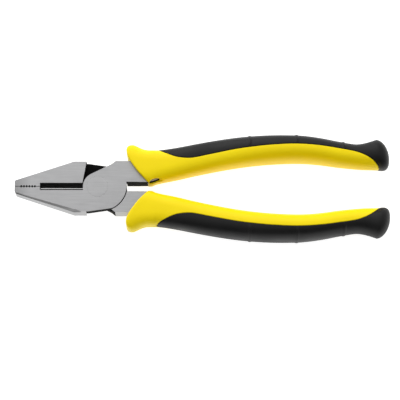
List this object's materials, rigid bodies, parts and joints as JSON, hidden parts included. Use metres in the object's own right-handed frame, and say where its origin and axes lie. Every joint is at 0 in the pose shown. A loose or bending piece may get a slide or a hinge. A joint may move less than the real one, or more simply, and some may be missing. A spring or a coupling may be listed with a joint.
{
  "type": "lineman pliers",
  "caption": "Lineman pliers with flat toothed nose, side cutters, riveted lap joint and bowed two-colour grips with a front guard and flared end.",
  "frame": {"origin": "middle of the rivet's lower end, in the plane of the head's underside", "axes": "+X from the nose to the grips, +Z along the pivot axis, up out of the head's upper face; the pliers are stored closed"},
  "size_m": [0.2041, 0.0594, 0.0234],
  "materials": {
    "steel": "ground faces with fine lengthwise grinding lines, black oxide in the recesses",
    "rivet": "ground flush with the head",
    "yellow_grip": "satin moulded plastic",
    "black_grip": "matte soft-touch overmold with a fine grain"
  },
  "bodies": {
    "half_a": {"steel_half_a": "steel", "pivot_rivet": "rivet", "grip_sleeve_a": "yellow_grip", "grip_overmold_a": "black_grip"},
    "half_b": {"steel_half_b": "steel", "grip_sleeve_b": "yellow_grip", "grip_overmold_b": "black_grip"}
  },
  "joints": [
    {"name": "jaw_pivot", "type": "hinge", "parent": "half_a", "child": "half_b", "pos_m": [0, 0, 0.0055], "axis": [0, 0, -1], "range_deg": [0, 52]}
  ]
}
